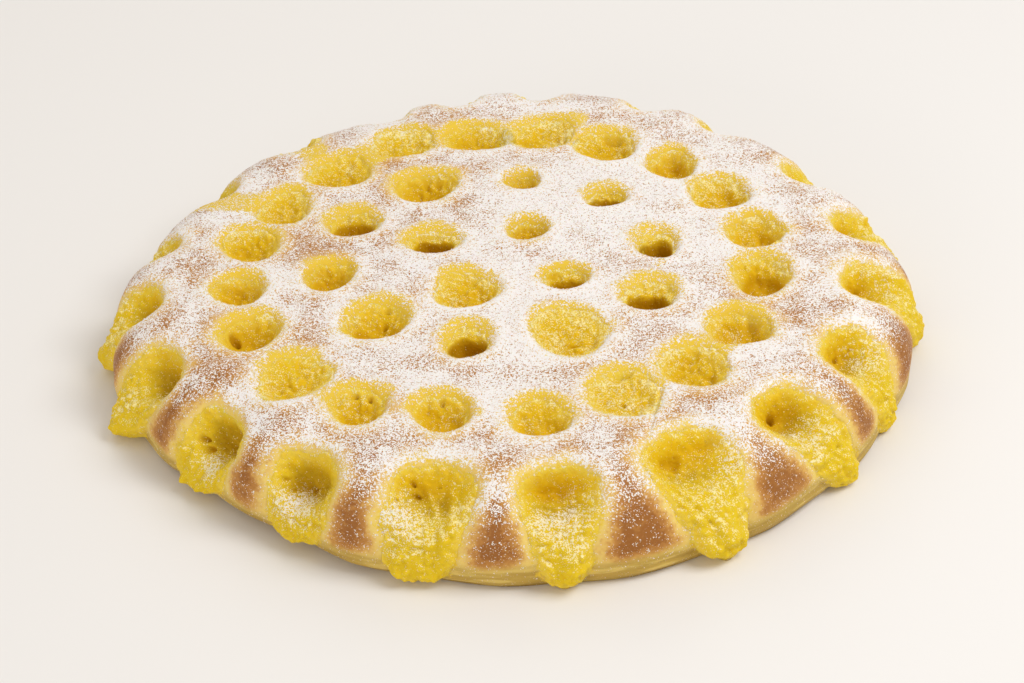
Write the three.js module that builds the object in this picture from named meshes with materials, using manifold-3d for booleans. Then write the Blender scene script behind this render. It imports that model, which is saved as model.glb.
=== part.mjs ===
import * as THREE from 'three';
import { mergeVertices } from 'three/addons/utils/BufferGeometryUtils.js';
import Module from 'manifold-3d';

// A large round custard cake: one disc of sweet yeast dough, pressed all over with the fingertips,
// each dimple lined with baked custard. The dimples round the rim spill down the side in tongues.
// Millimetres and degrees, +Z up, the flat underside on z = 0, angles counted from +X towards +Y.

// Driving dimensions of the dough.
const rimRadius = 161;
const middleHeight = 44;
const shoulderHeight = 41;
const shoulderWidth = 35;
const footHeight = 10;
const footInset = 1;
const pillowHeight = 4.5;
const undersideStep = 20;

// The disc isn't truly round: [angle, how far it stands out there, degrees over which it does].
const outlineSwells = [
  [0, 3, 20], [22, -2, 10], [41, -2, 12], [60, 2, 12], [76, 2, 10], [92, 4.5, 14],
  [118, -4, 14], [155, -3, 16], [182, 5, 20], [224, -5, 20], [262, -1, 10], [288, 3.5, 34],
];

// At the front left the bottom edge curls up off the surface.
const curl = { angle: 231, height: 4, spread: 20 };

// Finger dimples on top, in three rings: [distance from the middle, angle, width along X,
// width along Y, depth of the hollow].
const topDimples = {
  a: [[27, 75, 17, 17, 10], [38, 148, 25, 20, 12], [27, 225, 28, 25, 7], [25, 328, 19, 18, 11]],
  b: [
    [68, 85, 15, 16, 9], [65, 51, 18, 18, 14], [61, 11, 20, 23, 14], [61, 333, 24, 23, 14],
    [57, 292, 31, 33, 5], [59, 251, 21, 24, 12], [67, 214, 26, 26, 9], [75, 182, 20, 22, 10],
    [77, 149, 24, 22, 11], [76, 118, 27, 25, 9],
  ],
  c: [
    [110, 97, 29, 24, 7], [111, 82, 29, 27, 6], [106, 66, 27, 27, 7], [105, 48, 21, 24, 9],
    [103, 30, 26, 26, 8], [103, 11, 24, 25, 8], [102, 352, 22, 33, 12], [103, 329, 24, 26, 9],
    [104, 311, 26, 28, 7], [104, 293, 29, 30, 4], [109, 274, 25, 23, 7], [107, 254, 22, 25, 8],
    [113, 237, 24, 24, 7], [114, 220, 29, 30, 5], [113, 201, 23, 26, 10], [112, 184, 20, 25, 8],
    [112, 166, 23, 27, 7], [111, 150, 24, 27, 6], [111, 131, 29, 25, 6], [116, 113, 28, 24, 5],
  ],
};

// Rim dimples: [angle, distance of the hollow from the middle, width, depth of the hollow,
// how far the end of the tongue stands proud of the side, angle of that end, width of that end].
const rimDimples = [
  [10, 146, 26, 7, 7, 16, 22], [29, 148, 28, 6, 5, 30, 24], [50, 150, 24, 6, 3, 50, 20],
  [65, 149, 18, 5, 1, 65, 14], [84, 149, 18, 5, 1, 84, 14], [98, 149, 19, 5, 1, 98, 14],
  [111, 148, 21, 5, 1, 111, 16], [129, 147, 24, 2, 7, 129, 20], [148, 149, 24, 6, 2, 148, 18],
  [167, 151, 22, 6, 3, 167, 18], [183, 153, 26, 7, 8, 180, 22], [201, 153, 27, 8, 9, 197, 26],
  [219, 153, 29, 8, 4, 216, 29], [237, 153, 30, 8, 2, 236, 28], [257, 150, 35, 8, 3, 255, 29],
  [275, 151, 31, 8, 4, 275, 20], [295, 147, 36, 8, 8, 297, 24], [314, 147, 30, 8, 5, 320, 22],
  [333, 147, 30, 7, 3, 334, 17], [352, 144, 27, 7, 4, 357, 22],
];
const tongueGap = 2;
const tongueTip = 6;
const grooveDepth = 5;

// Every custard lining is this thick under its hollow, and lies this far off the dough.
const liningThickness = 3;
const clearance = 0.35;

const topSides = 10;
const sectionsPerRimDimple = 3;

const doughLook = { color: 0xd9b584, roughness: 0.8, metalness: 0 };
const custardLook = { color: 0xe6c637, roughness: 0.5, metalness: 0 };

const radians = THREE.MathUtils.degToRad;
const mix = THREE.MathUtils.lerp;
const ease = THREE.MathUtils.smoothstep;

// How far angle a is from angle b, in degrees, the short way round.
function degreesApart(a, b) {
  return Math.abs(THREE.MathUtils.euclideanModulo(a - b + 180, 360) - 180);
}

function bell(distance, spread) {
  return Math.exp(-((distance / spread) ** 2));
}

function rimRadiusAt(angle) {
  let radius = rimRadius;
  for (const [at, height, spread] of outlineSwells) {
    radius += height * bell(degreesApart(angle, at), spread);
  }
  return radius;
}

// 1 in the middle of a rim dimple, 0 on the crust between two of them.
function rimHollow(angle) {
  let hollow = 0;
  for (const [at, distance, width] of rimDimples) {
    const across = radians(degreesApart(angle, at)) * distance;
    hollow = Math.max(hollow, bell(across, 0.6 * width));
  }
  return hollow;
}

// The shoulder is a quarter of an ellipse, close enough to round for one mean radius.
const shoulderDrop = shoulderHeight - footHeight;
const shoulderMean = (shoulderWidth + shoulderDrop) / 2;
const shoulderLength = (shoulderMean * Math.PI) / 2;

// A point over the dough's skin. travel is the way along the skin from the middle of the top,
// out over the shoulder and down the side, and lift is the distance off the skin.
function onSkin(travel, angle, lift) {
  const rim = rimRadiusAt(angle);
  const shoulderStart = rim - shoulderWidth;
  const turn = THREE.MathUtils.clamp((travel - shoulderStart) / shoulderMean, 0, Math.PI / 2);
  const pillow = bell(turn - 0.85, 0.75) * pillowHeight * (1 - rimHollow(angle));
  const out = lift + pillow;
  let radius = shoulderStart + Math.sin(turn) * (shoulderWidth + out);
  let height = footHeight + Math.cos(turn) * (shoulderDrop + out);
  if (turn === 0) {
    radius = travel;
    height += (middleHeight - shoulderHeight) * (1 - (travel / shoulderStart) ** 2);
  }
  const down = travel - shoulderStart - shoulderLength;
  if (down > 0) {
    const lowest = curl.height * bell(degreesApart(angle, curl.angle), curl.spread);
    radius -= (footInset * down) / footHeight;
    height -= (down * (footHeight - lowest)) / footHeight;
  }
  return new THREE.Vector3(
    radius * Math.cos(radians(angle)), radius * Math.sin(radians(angle)), height);
}

// A closed solid from a first point, rings that each have the same number of points, and a last
// point. The rings run anticlockwise seen from above, first outwards and then back below.
function solidFromRings(first, rings, last) {
  const count = rings[0].length;
  const points = [first, ...rings.flat(), last];
  const at = (ring, step) => 1 + ring * count + (step % count);
  const triangles = [];
  for (let step = 0; step < count; step += 1) {
    triangles.push(0, at(0, step), at(0, step + 1));
    for (let ring = 0; ring < rings.length - 1; ring += 1) {
      triangles.push(at(ring, step), at(ring + 1, step), at(ring + 1, step + 1));
      triangles.push(at(ring, step), at(ring + 1, step + 1), at(ring, step + 1));
    }
    triangles.push(points.length - 1, at(rings.length - 1, step + 1), at(rings.length - 1, step));
  }
  const geometry = new THREE.BufferGeometry();
  geometry.setAttribute('position', new THREE.BufferAttribute(
    new Float32Array(points.flatMap((point) => point.toArray())), 3));
  geometry.setIndex(triangles);
  return geometry;
}

// The whole loaf before it is dimpled. Its sections follow the rim dimples, one through the
// middle of each and some more up to the next.
function loafSolid() {
  const angles = rimDimples.map((dimple) => dimple[0]);
  const sections = [];
  angles.forEach((angle, index) => {
    const next = index + 1 < angles.length ? angles[index + 1] : angles[0] + 360;
    for (let step = 0; step < sectionsPerRimDimple; step += 1) {
      sections.push(mix(angle, next, step / sectionsPerRimDimple));
    }
  });
  const topSteps = [0.35, 0.7, 1];
  const shoulderSteps = [0.2, 0.4, 0.6, 0.8, 1];
  const footSteps = [0.5, 1];
  const rings = [
    ...topSteps.map((share) => sections.map((angle) => (
      onSkin(share * (rimRadiusAt(angle) - shoulderWidth), angle, 0)))),
    ...shoulderSteps.map((share) => sections.map((angle) => (
      onSkin(rimRadiusAt(angle) - shoulderWidth + share * shoulderLength, angle, 0)))),
    ...footSteps.map((share) => sections.map((angle) => (
      onSkin(rimRadiusAt(angle) - shoulderWidth + shoulderLength + share * footHeight, angle, 0)))),
    sections.map((angle) => {
      const radius = rimRadiusAt(angle) - undersideStep;
      return new THREE.Vector3(
        radius * Math.cos(radians(angle)), radius * Math.sin(radians(angle)), 0);
    }),
  ];
  return solidFromRings(new THREE.Vector3(0, 0, middleHeight), rings, new THREE.Vector3());
}

// The hollow that a finger leaves in the dough is a bowl with a soft lip, and its custard follows
// it below with a little clearance. Both are made of rows [share of the width, share of the depth].
const lip = [1.35, 5];
const bowlEdge = [0.98, 0.12];
const bowlFloor = [0.6, 0.95];
const hollowSteps = [[0.25, 0.97], [0.6, 0.65]];

// A dimple on top is made of rings round its own middle, which leans a little to the front.
const lean = 2;

function topDimple(ring, index) {
  const [distance, angle, widthX, widthY, depth] = topDimples[ring][index];
  const x = distance * Math.cos(radians(angle));
  const y = distance * Math.sin(radians(angle));
  const bowl = depth + liningThickness;
  const inset = (2 * clearance) / Math.min(widthX, widthY);

  function place(share, turn, lift) {
    const uneven = 1 + 0.05 * Math.sin(2 * turn + angle) + 0.04 * Math.sin(3 * turn + distance);
    const px = x + share * uneven * (widthX / 2) * Math.cos(turn);
    const py = y + share * uneven * (widthY / 2) * Math.sin(turn) - lean * (1 - Math.min(share, 1));
    return onSkin(Math.hypot(px, py), THREE.MathUtils.radToDeg(Math.atan2(py, px)), lift);
  }
  function ringOf(share, lift) {
    const steps = Array.from({ length: topSides }, (_, step) => (2 * Math.PI * step) / topSides);
    return steps.map((turn) => place(share, turn, lift));
  }
  const finger = solidFromRings(
    place(0, 0, lip[1]),
    [
      ringOf(lip[0], lip[1]),
      ringOf(bowlEdge[0], -bowlEdge[1] * bowl),
      ringOf(bowlFloor[0], -bowlFloor[1] * bowl),
    ],
    place(0, 0, -bowl));
  const custard = solidFromRings(
    place(0, 0, -depth),
    [
      ...hollowSteps.map(([share, deep]) => ringOf(share, -deep * depth)),
      ringOf(bowlEdge[0] - 1.5 * inset, -bowlEdge[1] * bowl),
      ringOf(bowlFloor[0] - inset, clearance - bowlFloor[1] * bowl),
    ],
    place(0, 0, clearance - bowl));
  return { name: `custard_${ring}${index + 1}`, finger, custard };
}

// A rim dimple is made of sections across it, from the inner end of its hollow out over the
// shoulder and down to the end of its tongue.
const hollowStations = [-0.92, -0.4];
const tongueStations = [0.12, 0.32, 0.52, 0.72, 0.88, 1];

function rimDimple(index) {
  const [angle, distance, width, depth, proud, endAngle, endWidth] = rimDimples[index];
  const inner = 0.38 * width;
  const lengthAt = (angleThere) => (
    rimRadiusAt(angleThere) - shoulderWidth + shoulderLength + footHeight - tongueGap - distance);
  const length = lengthAt(endAngle);
  const turned = THREE.MathUtils.euclideanModulo(endAngle - angle + 180, 360) - 180;

  // Each station has its way along, the half width there and how far down the tongue it is.
  const stations = [
    ...hollowStations.map((share) => (
      { along: share * inner, half: (width / 2) * Math.sqrt(1 - share ** 2), spill: 0 })),
    ...tongueStations.map((spill) => {
      const along = spill * length;
      const toEnd = Math.max(0, along - length + tongueTip) / tongueTip;
      const blunt = Math.sqrt(1 - 0.7 * toEnd ** 2);
      return { along, half: (mix(width, endWidth, spill) / 2) * blunt, spill };
    }),
  ];
  function place(station, across, lift) {
    const nearRadius = Math.min(distance + station.along, rimRadius);
    const sideways = THREE.MathUtils.radToDeg(across / nearRadius);
    const angleThere = angle + turned * station.spill + sideways;
    const along = station.along > 0 ? station.spill * lengthAt(angleThere) : station.along;
    return onSkin(distance + along, angleThere, lift);
  }
  const bowlAt = (spill) => mix(depth + liningThickness, grooveDepth, ease(spill, 0, 0.4));
  const hollowAt = (spill) => mix(depth, -proud, ease(spill, 0, 0.75));

  function fingerSection(station) {
    const { half, spill } = station;
    const bowl = bowlAt(spill);
    return [
      place(station, -lip[0] * half, lip[1] + proud), place(station, lip[0] * half, lip[1] + proud),
      place(station, bowlEdge[0] * half, -bowlEdge[1] * bowl),
      place(station, bowlFloor[0] * half, -bowl),
      place(station, -bowlFloor[0] * half, -bowl),
      place(station, -bowlEdge[0] * half, -bowlEdge[1] * bowl),
    ];
  }
  function custardSection(station) {
    const { half, spill } = station;
    const bowl = bowlAt(spill);
    const hollow = hollowAt(spill) * Math.min(1, half / (0.4 * width));
    const brim = bowlEdge[0] * half - 1.5 * clearance;
    const floor = bowlFloor[0] * half - clearance;
    return [
      place(station, -brim, -bowlEdge[1] * bowl), place(station, -0.55 * half, -0.7 * hollow),
      place(station, 0, -hollow),
      place(station, 0.55 * half, -0.7 * hollow), place(station, brim, -bowlEdge[1] * bowl),
      place(station, floor, clearance - bowl), place(station, -floor, clearance - bowl),
    ];
  }
  const endLift = -1.5;
  const first = { along: -inner, spill: 0 };
  const last = { along: length, spill: 1 };
  const beyond = { along: length, spill: 1 + clearance / length };
  const finger = solidFromRings(
    place({ along: -inner - 2 * clearance, spill: 0 }, 0, endLift),
    stations.map(fingerSection),
    place(beyond, 0, 0));
  const custard = solidFromRings(
    place(first, 0, endLift),
    stations.map(custardSection),
    place(last, 0, 0));
  return { name: `custard_d${index + 1}`, finger, custard };
}

const wasm = await Module();
wasm.setup();

function toManifold(geometry) {
  const merged = mergeVertices(geometry, 0.001);
  return new wasm.Manifold(new wasm.Mesh({
    numProp: 3,
    vertProperties: merged.attributes.position.array,
    triVerts: new Uint32Array(merged.index.array),
  }));
}

function fromManifold(solid) {
  const mesh = solid.getMesh();
  const geometry = new THREE.BufferGeometry();
  geometry.setAttribute('position', new THREE.BufferAttribute(mesh.vertProperties, mesh.numProp));
  geometry.setIndex(new THREE.BufferAttribute(mesh.triVerts, 1));
  return geometry;
}

function namedMesh(name, geometry, look) {
  geometry.computeVertexNormals();
  const mesh = new THREE.Mesh(geometry, new THREE.MeshStandardMaterial(look));
  mesh.name = name;
  return mesh;
}

const dimples = [
  ...Object.keys(topDimples).flatMap((ring) => (
    topDimples[ring].map((row, index) => topDimple(ring, index)))),
  ...rimDimples.map((row, index) => rimDimple(index)),
];

let dough = toManifold(loafSolid());
for (const dimple of dimples) {
  dough = dough.subtract(toManifold(dimple.finger));
}

const cake = new THREE.Group();
cake.add(namedMesh('dough', fromManifold(dough), doughLook));
for (const dimple of dimples) {
  cake.add(namedMesh(dimple.name, dimple.custard, custardLook));
}

// The origin is under the middle of the finished cake's bounding box.
const middle = new THREE.Box3().setFromObject(cake).getCenter(new THREE.Vector3());
cake.position.set(-middle.x, -middle.y, 0);
cake.updateMatrixWorld(true);

export default cake;
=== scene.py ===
import bpy
import numpy as np
from mathutils import Matrix, Vector


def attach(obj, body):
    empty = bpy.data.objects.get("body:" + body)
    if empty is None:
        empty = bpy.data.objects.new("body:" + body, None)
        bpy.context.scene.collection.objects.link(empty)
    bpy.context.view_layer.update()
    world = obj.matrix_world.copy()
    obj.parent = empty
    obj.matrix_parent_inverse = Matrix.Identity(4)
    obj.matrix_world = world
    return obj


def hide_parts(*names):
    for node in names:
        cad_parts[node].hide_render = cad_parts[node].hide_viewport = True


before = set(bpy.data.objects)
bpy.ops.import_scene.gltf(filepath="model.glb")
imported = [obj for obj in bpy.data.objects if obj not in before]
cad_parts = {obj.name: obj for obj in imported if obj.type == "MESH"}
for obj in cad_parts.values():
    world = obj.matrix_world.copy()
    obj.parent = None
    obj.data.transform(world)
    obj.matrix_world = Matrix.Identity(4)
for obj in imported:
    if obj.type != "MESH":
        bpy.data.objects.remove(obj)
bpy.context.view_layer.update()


# The dough: one flat round of sweet yeast dough, its top pressed with the fingertips all over.
# It is proved, dimpled, filled and baked in one piece on its own flat underside.
# Sizes are in millimetres and angles in degrees, and the meshes are written in metres.

MILLIMETRE = 0.001
LOAF_MIDDLE = (2.871, -0.048)
RIM_RADIUS = 161
SHOULDER_HEIGHT = 41
SHOULDER_WIDTH = 35
FOOT_HEIGHT = 10
FOOT_INSET = 1
FOOT_ROUNDING = 2.5
DOME_RISE = 3
UNDERSIDE_STEP = 20
LINING_THICKNESS = 3
SHOULDER_DROP = SHOULDER_HEIGHT - FOOT_HEIGHT
SHOULDER_MEAN = (SHOULDER_WIDTH + SHOULDER_DROP) / 2
SHOULDER_LENGTH = SHOULDER_MEAN * np.pi / 2
# The crust swells into pillows between the rim dimples: their height, and where on the shoulder's
# turn they are and over how much of it, in radians.
PILLOW_HEIGHT = 4.5
PILLOW_TURN = 0.85
PILLOW_SPREAD = 0.75

# How the rim leaves the circle: angle, how far it stands out there, degrees over which it does.
OUTLINE_SWELLS = [
    (0, 3, 20), (22, -2, 10), (41, -2, 12), (60, 2, 12), (76, 2, 10), (92, 4.5, 14),
    (118, -4, 14), (155, -3, 16), (182, 5, 20), (224, -5, 20), (262, -1, 10), (288, 3.5, 34),
]
# Where the bottom edge curls up: angle, height, degrees over which it does.
CURL = (231, 4, 20)

# Dimples on top: distance from the middle, angle, width along X, width along Y, depth.
TOP_DIMPLES = {
    "a": [(27, 75, 17, 17, 10), (38, 148, 25, 20, 12), (27, 225, 28, 25, 7), (25, 328, 19, 18, 11)],
    "b": [
        (68, 85, 15, 16, 9), (65, 51, 18, 18, 14), (61, 11, 20, 23, 14), (61, 333, 24, 23, 14),
        (57, 292, 31, 33, 5), (59, 251, 21, 24, 12), (67, 214, 26, 26, 9), (75, 182, 20, 22, 10),
        (77, 149, 24, 22, 11), (76, 118, 27, 25, 9),
    ],
    "c": [
        (110, 97, 29, 24, 7), (111, 82, 29, 27, 6), (106, 66, 27, 27, 7), (105, 48, 21, 24, 9),
        (103, 30, 26, 26, 8), (103, 11, 24, 25, 8), (102, 352, 22, 33, 10.8), (103, 329, 24, 26, 9),
        (104, 311, 26, 28, 7), (104, 293, 29, 30, 4), (109, 274, 25, 23, 7), (107, 254, 22, 25, 8),
        (113, 237, 24, 24, 7), (114, 220, 29, 30, 5), (113, 201, 23, 26, 10), (112, 184, 20, 25, 8),
        (112, 166, 23, 27, 7), (111, 150, 24, 27, 6), (111, 131, 29, 25, 6), (116, 113, 28, 24, 5),
    ],
}
# Dimples round the rim: angle, distance of the hollow from the middle, width, depth, how far the
# end of the tongue stands proud of the side, angle of that end, width of that end.
RIM_DIMPLES = [
    (10, 146, 26, 7, 7, 16, 22), (29, 148, 28, 6, 5, 30, 24), (50, 150, 24, 6, 3, 50, 20),
    (65, 149, 18, 5, 1, 65, 14), (84, 149, 18, 5, 1, 84, 14), (98, 149, 19, 5, 1, 98, 14),
    (111, 148, 21, 5, 1, 111, 16), (129, 147, 24, 2, 7, 129, 20), (148, 149, 24, 6, 2, 148, 18),
    (167, 151, 22, 6, 3, 167, 18), (183, 153, 26, 7, 8, 180, 22), (201, 153, 27, 8, 9, 197, 26),
    (219, 153, 29, 8, 4, 216, 29), (237, 153, 30, 8, 2, 236, 28), (257, 150, 35, 8, 3, 255, 29),
    (275, 151, 31, 8, 4, 275, 20), (295, 147, 36, 8, 8, 297, 24), (314, 147, 30, 8, 5, 320, 22),
    (333, 147, 30, 7, 3, 334, 17), (352, 144, 27, 7, 4, 357, 22),
]
# Burst bubbles in the custard: way along the skin, angle, radius, depth.
BUBBLES = [
    (62, 213, 1.2, 2.5), (58, 208.5, 1.3, 1.5), (118.5, 198.2, 2.0, 5), (106, 234, 1.0, 3),
    (104.5, 237, 1.0, 3), (98, 252.5, 1.3, 2.2), (106.5, 292, 1.1, 2), (156, 233, 1.1, 2),
    (158.5, 237, 1.2, 2.5), (160.5, 234.2, 0.9, 2), (144.5, 253.3, 1.3, 2.5),
    (149.8, 254, 1.4, 2.5), (153.5, 251.8, 0.9, 1.5), (144.2, 257.5, 0.7, 1.5),
    (143.8, 313.8, 2.3, 5), (144.5, 333.6, 1.2, 2.5), (147, 336, 1.0, 2), (144, 353.5, 1.7, 2.5),
    (159.2, 215.2, 1.6, 3), (162.5, 216.6, 1.6, 3), (141, 294.5, 0.8, 1.5), (167, 305, 0.8, 1.5),
]
# Soft finger marks in the custard: way along the skin, angle, half length outwards, half width
# across, depth.
PRESSES = [
    (147, 254, 5, 6, 2.5), (146, 275, 4.5, 11, 3.5), (144, 293, 4, 5, 3), (143, 300, 3, 5, 2.5),
    (97, 314.5, 2.5, 6, 2), (111.5, 50, 3, 4, 3), (115.5, 66.5, 3, 5, 3), (113, 181.5, 3, 3, 2),
    (60.5, 289.5, 1.2, 4, 1.5), (92.5, 296.5, 1.2, 4, 1.5), (84, 115, 4, 1.2, 2),
    (80.5, 112, 3, 1.2, 2), (108, 32, 3, 5, 2), (108, 12.5, 3, 5, 2), (105, 334, 3, 5, 3),
    (160, 258.5, 12, 2.5, 1.5), (158, 235, 4, 5, 2), (146, 203, 5, 5, 2), (150, 316, 7, 4, 1.5),
]
# The rim dimples that a thumb has pressed again: number in RIM_DIMPLES, how far out from the
# hollow's middle, half length, half width, depth.
THUMBS = [
    (0, 0, 8, 7, 2.5), (1, 1, 8, 8, 2), (10, 2, 9, 8, 3), (11, 2, 10, 9, 4), (12, 3, 11, 9, 4.5),
    (13, 3, 9, 10, 4), (17, 0, 8, 8, 3), (18, 0, 8, 8, 3), (19, 0, 8, 6, 3),
]
# Where a film of custard reaches over the dough: way and angle of both its ends, half width.
FILMS = [
    (112, 131, 116, 113, 9), (116, 113, 111, 98, 8), (112, 84, 122, 76, 8), (111, 80, 107, 66, 8),
    (103, 327, 104, 313, 9), (57, 284, 54.5, 274, 1.2), (60, 352, 64, 2, 1.5),
    (112, 151, 150, 152, 9), (105, 295, 104, 309, 6), (106, 262, 103, 246, 1.5),
    (119, 131, 150, 129, 7),
]
# Folds that stand up and creases that sink in: way and angle of both ends, half width, height.
FOLDS = [
    (149.5, 288.5, 172, 293.5, 1.6, 1.5), (155, 290.5, 174, 295, 1.2, -1.2),
    (153, 293.5, 170, 297.5, 1.5, 1.0), (144.4, 255.2, 166, 258.8, 2.2, 1.5),
    (108.7, 300.5, 119.1, 295.8, 0.8, -1.1), (119.1, 295.8, 134.2, 291, 0.8, -1.1),
    (36, 140, 42, 156, 1.0, 1.0), (58, 288, 63, 295, 0.9, -1.0), (90, 292, 93, 298, 0.9, -1.0),
    (160, 182, 178, 180.5, 1.3, 1.0), (158, 186, 176, 183.5, 1.2, 0.9),
    (165, 221, 180, 217.5, 1.5, 1.1), (170, 239.5, 183, 237, 1.5, 1.1),
    (160, 12.5, 178, 16, 1.5, 1.1), (155, 28, 172, 30, 1.5, 0.9), (158, 317, 176, 320.5, 1.6, 1.1),
    (158, 332, 175, 334, 1.2, 0.9), (148, 356, 168, 358, 1.3, 0.9), (160, 200, 178, 196, 1.5, 1.0),
]
# How far the floor of a dimple leans towards the front, and the depths between which a dimple
# turns into a cave, with how far a cave's mouth then draws its custard in, and how that mouth
# wanders: amount, size and seed of the noise.
LEAN = 2
CAVE_FROM = (10.3, 11.5)
CAVE_MOUTH = 1.2
CAVE_WANDER = (0.12, 7, 31)
# How far custard is smeared past the brim of a dimple, and how much farther at its back.
SMEAR_REACH = 1.5
SMEAR_AT_BACK = 3
# The deepest rim dimple, how long the part of it inside its middle is as a share of its width, and
# the length and bluntness of the end of a tongue.
RIM_DEPTH = 8
INNER_SHARE = 0.38
TONGUE_TIP = 11
TONGUE_TAPER = 0.82
# How much wider and deeper than a burst bubble the dough below it is pressed.
BUBBLE_ROOM = 1.2
# How far inside its edge the custard is as thick as its lining.
EDGE_WIDTH = 2.5
FAR_AWAY = 99.0


def bell(distance, spread):
    """1 where the distance is 0, fading to 0 over the spread on both sides."""
    return np.exp(-((distance / spread) ** 2))


def ease(value, low, high):
    """0 at low, 1 at high, and smooth between them."""
    share = np.clip((value - low) / (high - low), 0, 1)
    return share * share * (3 - 2 * share)


def turned_by(angle, start):
    """Degrees from start to angle, the short way round."""
    return (angle - start + 180) % 360 - 180


# How many random values the noise has along each axis, after which it repeats.
LATTICE = 32


def noise(points, size, seed):
    """Smooth noise from -1 to 1 with lumps of the given size, on rows of coordinates."""
    lattice = np.random.default_rng(seed).uniform(-1, 1, (LATTICE, LATTICE, LATTICE))
    scaled = points / size
    cell = np.floor(scaled).astype(int)
    share = scaled - cell
    share = share * share * (3 - 2 * share)
    total = np.zeros(len(points))
    for corner in np.ndindex(2, 2, 2):
        at = (cell + corner) % LATTICE
        weight = np.prod(np.where(np.array(corner) == 1, share, 1 - share), axis=1)
        total += weight * lattice[at[:, 0], at[:, 1], at[:, 2]]
    return total


def layered(points, layers, base=0):
    """Several layers of noise added to a base, each given by its amount, size and seed."""
    return sum((amount * noise(points, size, seed) for amount, size, seed in layers), base)


def rim_radius(angle):
    """The distance from the middle to the side of the loaf."""
    return RIM_RADIUS + sum(
        height * bell(turned_by(angle, at), spread) for at, height, spread in OUTLINE_SWELLS)


def rim_hollow(angle):
    """1 in the middle of a rim dimple, 0 on the crust between two of them."""
    hollows = [
        depth / RIM_DEPTH * bell(np.radians(turned_by(angle, at)) * distance, 0.6 * width)
        for at, distance, width, depth, *_ in RIM_DIMPLES]
    return np.max(hollows, axis=0)


def skin_length(angle):
    """The way along the skin from the middle of the top to the bottom edge."""
    return rim_radius(angle) - SHOULDER_WIDTH + SHOULDER_LENGTH + FOOT_HEIGHT


def down_side(travel, angle, start, end):
    """0 on top and 1 down the side, between two distances past the brow of the shoulder."""
    return ease(travel - rim_radius(angle) + SHOULDER_WIDTH, start, end)


def x_and_y(radius, angle):
    """X and Y of a place at a radius and an angle."""
    return radius * np.cos(np.radians(angle)), radius * np.sin(np.radians(angle))


def on_skin(travel, angle, lift):
    """Points in millimetres: travel along the skin, at an angle, lifted off it."""
    start = rim_radius(angle) - SHOULDER_WIDTH
    turn = np.clip((travel - start) / SHOULDER_MEAN, 0, np.pi / 2)
    down = np.clip(travel - start - SHOULDER_LENGTH, 0, None)
    pillow = PILLOW_HEIGHT * bell(turn - PILLOW_TURN, PILLOW_SPREAD) * (1 - rim_hollow(angle))
    pillow = pillow * ease(travel - start, -30, 20)
    out = lift + pillow
    inwards = travel / start
    radius = np.where(
        travel < start, travel, start + np.sin(turn) * (SHOULDER_WIDTH + out))
    radius = radius - FOOT_INSET * down / FOOT_HEIGHT - FOOT_ROUNDING * ease(down, 5, 10) ** 2
    height = FOOT_HEIGHT + np.cos(turn) * (SHOULDER_DROP + out)
    height = height + DOME_RISE * np.clip(1 - inwards ** 2, 0, 1) ** 1.5
    curl = CURL[1] * bell(turned_by(angle, CURL[0]), CURL[2])
    height = height - down * (FOOT_HEIGHT - curl) / FOOT_HEIGHT
    return np.stack([*x_and_y(radius, angle), height], axis=1)


def brim_uneven(dimple, turn):
    """How far a dimple's brim leaves the plain ellipse, at a turn in radians about its middle."""
    distance, at = dimple[:2]
    return 1 + 0.05 * np.sin(2 * turn + at) + 0.04 * np.sin(3 * turn + distance)


def in_top_dimple(dimple, travel, angle):
    """How far out in a dimple each place is (1 at its brim), its distance from the brim, and on
    which side of the dimple it is, from -1 at the front to 1 at the back."""
    distance, at, width_x, width_y, _ = dimple
    x, y = x_and_y(travel, angle)
    middle_x, middle_y = x_and_y(distance, at)
    x, y = x - middle_x, y - middle_y
    share = np.hypot(2 * x / width_x, 2 * y / width_y)
    for _ in range(3):
        leant = y + LEAN * (1 - np.clip(share, 0, 1))
        turn = np.arctan2(2 * leant / width_y, 2 * x / width_x)
        uneven = brim_uneven(dimple, turn)
        share = np.hypot(2 * x / width_x, 2 * leant / width_y) / uneven
    brim = uneven * np.hypot(width_x * np.cos(turn), width_y * np.sin(turn)) / 2
    return share, (share - 1) * brim, np.sin(turn)


def tongue_half(dimple, spill, past_end):
    """Half the width of a tongue, which narrows over the shoulder and is blunt at its end."""
    width, end_width = dimple[2], dimple[6]
    half = (width + (end_width - width) * ease(spill, 0.1, 0.75)) / 2
    to_end = np.clip((past_end + TONGUE_TIP) / TONGUE_TIP, 0, 1)
    return half * np.sqrt(1 - TONGUE_TAPER * to_end ** 2)


def in_rim_dimple(dimple, travel, angle):
    """The way down a rim dimple's tongue (0 to 1), the way across it, the share of its hollow
    (1 at its brim) and the distance from the edge of its custard."""
    at, distance, width, _, _, end_angle, _ = dimple
    inner = INNER_SHARE * width
    along = travel - distance
    length = skin_length(angle) - 0.5 - distance
    spill = np.clip(along / length, 0, 1)
    middle = at + turned_by(end_angle, at) * spill
    across = np.radians(turned_by(angle, middle)) * np.clip(distance + along, 0, RIM_RADIUS)
    half = tongue_half(dimple, spill, along - length)
    inner_share = np.hypot(across / half, np.minimum(along, 0) / inner)
    edge = np.where(along < 0, (inner_share - 1) * np.where(
        np.abs(across) > -along, half, inner), np.abs(across) - half)
    edge = np.maximum(edge, along - length)
    hollow_reach = np.where(along < 0, inner, 0.42 * length)
    hollow = np.hypot(across / (0.96 * half), along / hollow_reach)
    return spill, across / half, hollow, edge


def cave_fall(share, near, wander, wider=0):
    """1 on the floor of a cave and 0 outside its mouth, which is nearer to its front wall."""
    return 1 - ease(share + wander, 0.40 + 0.38 * near + wider, 0.54 + 0.42 * near + wider)


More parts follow.
